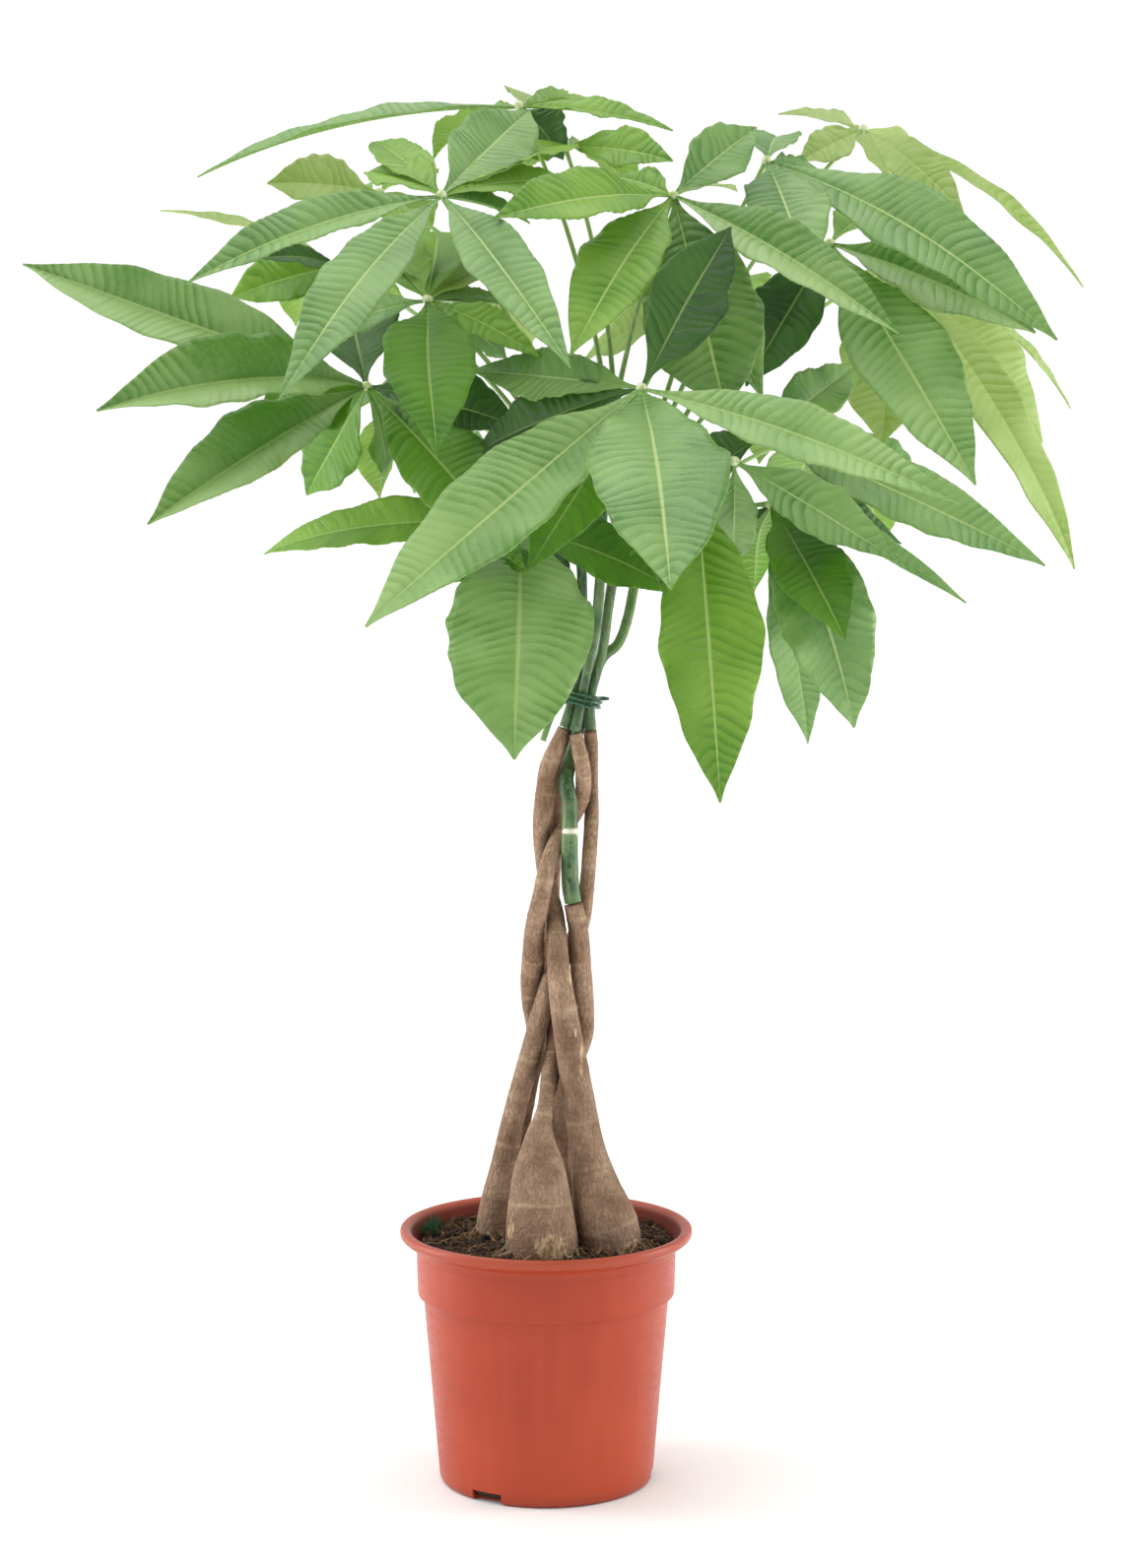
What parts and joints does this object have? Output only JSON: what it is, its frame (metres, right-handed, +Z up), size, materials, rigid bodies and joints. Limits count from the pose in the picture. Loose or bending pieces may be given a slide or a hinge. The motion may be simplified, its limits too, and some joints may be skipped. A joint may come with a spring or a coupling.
{
  "type": "potted money tree",
  "caption": "Potted money tree: green stems plaited into one woody trunk, tied at the top, with a wide crown of palmate leaves, standing in a tapered plastic nursery pot with a stepped collar.",
  "frame": {"origin": "centre of the pot's flat underside, on the surface it stands on", "axes": "+Z up along the pot's axis; -Y towards the viewer of the picture; +X to the viewer's right"},
  "size_m": [0.708, 0.6609, 0.9072],
  "materials": {
    "pot_plastic": "satin terracotta-coloured plastic with a paler rim",
    "soil": "moist fibrous peat with straw-coloured fibres and a little moss",
    "bark": "rough grey-brown bark with fine fissures",
    "green_shoot": "smooth green skin with pale scars",
    "plant_tie": "dark green coated wire",
    "leaf": "smooth mid-green leaf with a soft gloss and pale midribs"
  },
  "bodies": {
    "root": {"pot": "pot_plastic", "soil": "soil", "stem_1": "bark", "stem_2": "bark", "stem_3": "bark", "stem_4": "bark", "stem_5": "bark", "shoot_1": "green_shoot", "shoot_2": "green_shoot", "shoot_3": "green_shoot", "shoot_4": "green_shoot", "shoot_5": "green_shoot", "tie": "plant_tie", "leaf_a": "leaf", "leaf_b": "leaf", "leaf_c": "leaf", "leaf_d": "leaf", "leaf_e": "leaf", "leaf_f": "leaf", "leaf_g": "leaf", "leaf_h": "leaf", "leaf_r": "leaf", "leaf_k": "leaf", "leaf_j": "leaf", "leaf_p": "leaf", "leaf_m": "leaf", "leaf_n": "leaf", "leaf_t": "leaf", "leaf_s": "leaf", "leaf_u": "leaf", "leaf_v": "leaf", "leaf_w": "leaf", "leaf_x": "leaf", "leaf_y": "leaf", "leaf_z": "leaf"}
  },
  "joints": []
}
